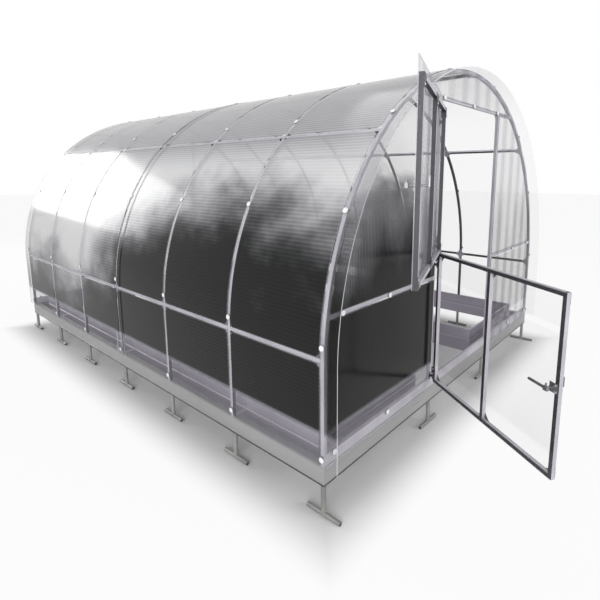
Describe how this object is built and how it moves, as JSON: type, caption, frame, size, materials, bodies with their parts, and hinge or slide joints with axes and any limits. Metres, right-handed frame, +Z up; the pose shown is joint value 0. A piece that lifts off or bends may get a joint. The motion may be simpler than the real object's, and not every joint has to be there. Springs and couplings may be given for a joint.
{
  "type": "polycarbonate tunnel greenhouse",
  "caption": "Round-arched tunnel greenhouse of square steel tube under polycarbonate sheet, with raised beds, a base beam on ground anchors and a two-leaf gable door.",
  "frame": {"origin": "middle of the footprint, level with the underside of the base beams", "axes": "+Z up, +Y along the ridge towards the closed gable, so the door gable is at -Y and +X is to the right for someone facing the door"},
  "size_m": [3.0308, 4.9685, 2.2614],
  "materials": {
    "galvanised_tube": "zinc-coated, satin",
    "base_steel": "brushed zinc-coated sheet",
    "screw_zinc": "bright zinc plate",
    "dark_steel": "dark grey satin",
    "latch_steel": "zinc-coated, darkened by handling",
    "bed_steel": "lilac-grey coated sheet, satin",
    "polycarbonate": "clear twin-wall sheet, glossy with fine flutes",
    "washer_cap": "white moulded cap",
    "washer_rubber": "black rubber ring"
  },
  "bodies": {
    "greenhouse": {"base_front_beam": "base_steel", "base_back_beam": "base_steel", "base_left_beams": "base_steel", "base_right_beams": "base_steel", "base_splices": "base_steel", "base_corner_angles": "base_steel", "ground_anchors": "galvanised_tube", "arch_1": "galvanised_tube", "arch_2": "galvanised_tube", "arch_3": "galvanised_tube", "arch_4": "galvanised_tube", "arch_5": "galvanised_tube", "arch_6": "galvanised_tube", "arch_7": "galvanised_tube", "rails_lower_left": "galvanised_tube", "rails_lower_right": "galvanised_tube", "purlins_left": "galvanised_tube", "purlins_right": "galvanised_tube", "ridge_purlins": "galvanised_tube", "crab_plates_lower": "galvanised_tube", "crab_plates_upper": "galvanised_tube", "crab_plates_ridge": "galvanised_tube", "frame_screws": "screw_zinc", "front_door_posts": "galvanised_tube", "front_header": "galvanised_tube", "front_tie_bars": "galvanised_tube", "front_sill": "galvanised_tube", "front_gussets": "galvanised_tube", "back_posts": "galvanised_tube", "back_header": "galvanised_tube", "back_bars": "galvanised_tube", "back_gussets": "galvanised_tube", "roof_sheet_front": "polycarbonate", "roof_sheet_back": "polycarbonate", "gable_sheet_front_left": "polycarbonate", "gable_sheet_front_right": "polycarbonate", "gable_sheet_front_top": "polycarbonate", "gable_sheet_back": "polycarbonate", "roof_washer_caps": "washer_cap", "roof_washer_rings": "washer_rubber", "gable_washer_caps": "washer_cap", "gable_washer_rings": "washer_rubber", "bed_left": "bed_steel", "bed_right": "bed_steel", "bed_brackets": "galvanised_tube", "hinge_post_halves": "dark_steel"},
    "lower_leaf": {"lower_door_frame": "galvanised_tube", "lower_door_gussets": "dark_steel", "lower_door_screws": "screw_zinc", "lower_door_sheet": "polycarbonate", "lower_door_hinges": "dark_steel", "lower_latch_plate": "latch_steel"},
    "lower_latch": {"lower_latch_handle": "latch_steel"},
    "upper_leaf": {"upper_door_frame": "galvanised_tube", "upper_door_gussets": "dark_steel", "upper_door_screws": "screw_zinc", "upper_door_sheet": "polycarbonate", "upper_door_hinges": "dark_steel", "upper_latch_plate": "latch_steel"},
    "upper_latch": {"upper_latch_handle": "latch_steel"}
  },
  "joints": [
    {"name": "lower_door_swing", "type": "hinge", "parent": "greenhouse", "child": "lower_leaf", "pos_m": [-0.48, -2.0429, 0.5575], "axis": [0, 0, 1], "range_deg": [-48.2, 121.8]},
    {"name": "lower_latch_turn", "type": "hinge", "parent": "lower_leaf", "child": "lower_latch", "pos_m": [-0.97354, -2.82409, 0.5575], "axis": [0.8499, -0.527, 0], "range_deg": [0, 90]},
    {"name": "upper_door_swing", "type": "hinge", "parent": "greenhouse", "child": "upper_leaf", "pos_m": [-0.48, -2.0429, 1.389], "axis": [0, 0, 1], "range_deg": [-5.7, 159.3]},
    {"name": "upper_latch_turn", "type": "hinge", "parent": "upper_leaf", "child": "upper_latch", "pos_m": [-1.34711, -2.36221, 1.389], "axis": [0.3535, -0.9354, 0], "range_deg": [0, 90]}
  ]
}
